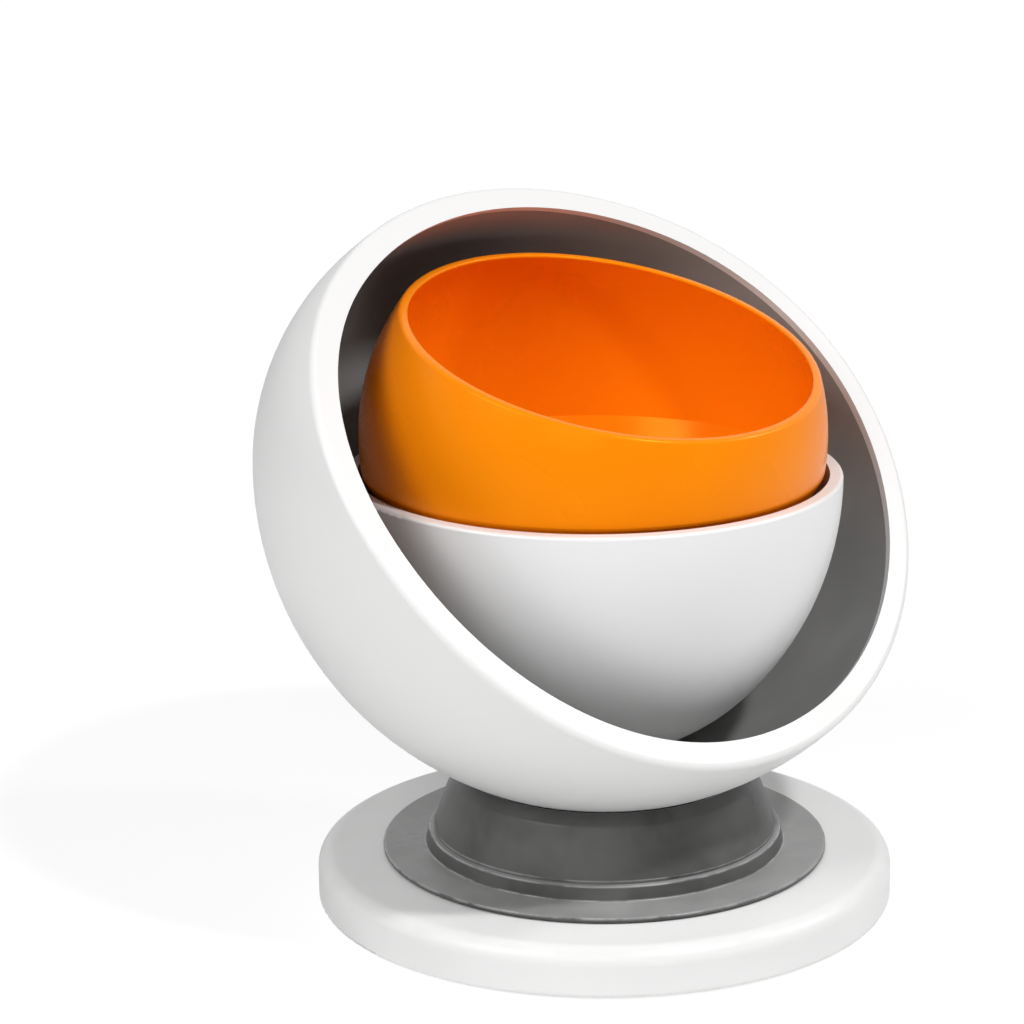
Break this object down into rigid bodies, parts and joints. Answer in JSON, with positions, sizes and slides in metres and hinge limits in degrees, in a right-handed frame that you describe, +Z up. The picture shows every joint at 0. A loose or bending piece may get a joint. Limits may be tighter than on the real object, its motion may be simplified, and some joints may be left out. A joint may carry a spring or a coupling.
{
  "type": "rotating desk organizer",
  "caption": "Globe-shaped desk organizer: open white shell on a turning grey pedestal and round base, with a white bowl and a removable slanted orange pen cup inside.",
  "frame": {"origin": "middle of the flat underside of the base, on the turning axis", "axes": "+Z up along the turning axis; the shell opens towards -Y; X across, the part is mirror-symmetric about X = 0"},
  "size_m": [0.21, 0.1932, 0.2105],
  "materials": {
    "white_plastic": "satin",
    "grey_plastic": "satin",
    "liner_plastic": "matte",
    "orange_plastic": "gloss",
    "natural_plastic": "matte",
    "steel": "satin",
    "ball_steel": "polished",
    "rubber": "matte"
  },
  "bodies": {
    "base": {"anti_slip_pad": "rubber", "base_bottom_plate": "white_plastic", "base_plate_screws": "steel", "ballast_ring": "steel", "base_disc": "white_plastic", "lower_race": "steel", "pivot_bolt": "steel", "pivot_washer": "steel", "pivot_nut": "steel"},
    "ball_set": {"bearing_balls": "ball_steel", "ball_cage": "natural_plastic"},
    "turntable": {"upper_race": "steel", "pivot_bush": "natural_plastic", "pedestal": "grey_plastic", "seat_ring": "rubber", "shell_screws": "steel", "outer_shell": "white_plastic", "shell_liner": "liner_plastic", "bowl_spacer": "natural_plastic", "bowl": "white_plastic", "cup_seat": "natural_plastic", "bowl_screws": "steel", "cup_pad": "rubber"},
    "pen_cup": {"cup": "orange_plastic"}
  },
  "joints": [
    {"name": "turntable_spin", "type": "hinge", "parent": "base", "child": "turntable", "pos_m": [0, 0, 0.0165], "axis": [0, 0, 1], "continuous": true},
    {"name": "ball_set_spin", "type": "hinge", "parent": "base", "child": "ball_set", "pos_m": [0, 0, 0.0165], "axis": [0, 0, 1], "continuous": true},
    {"name": "cup_lift", "type": "slide", "parent": "turntable", "child": "pen_cup", "axis": [0, -0.4695, 0.8829], "range_m": [0, 0.18]}
  ],
  "couplings": [
    {"joint": "ball_set_spin", "follows": "turntable_spin", "ratio": 0.5}
  ]
}
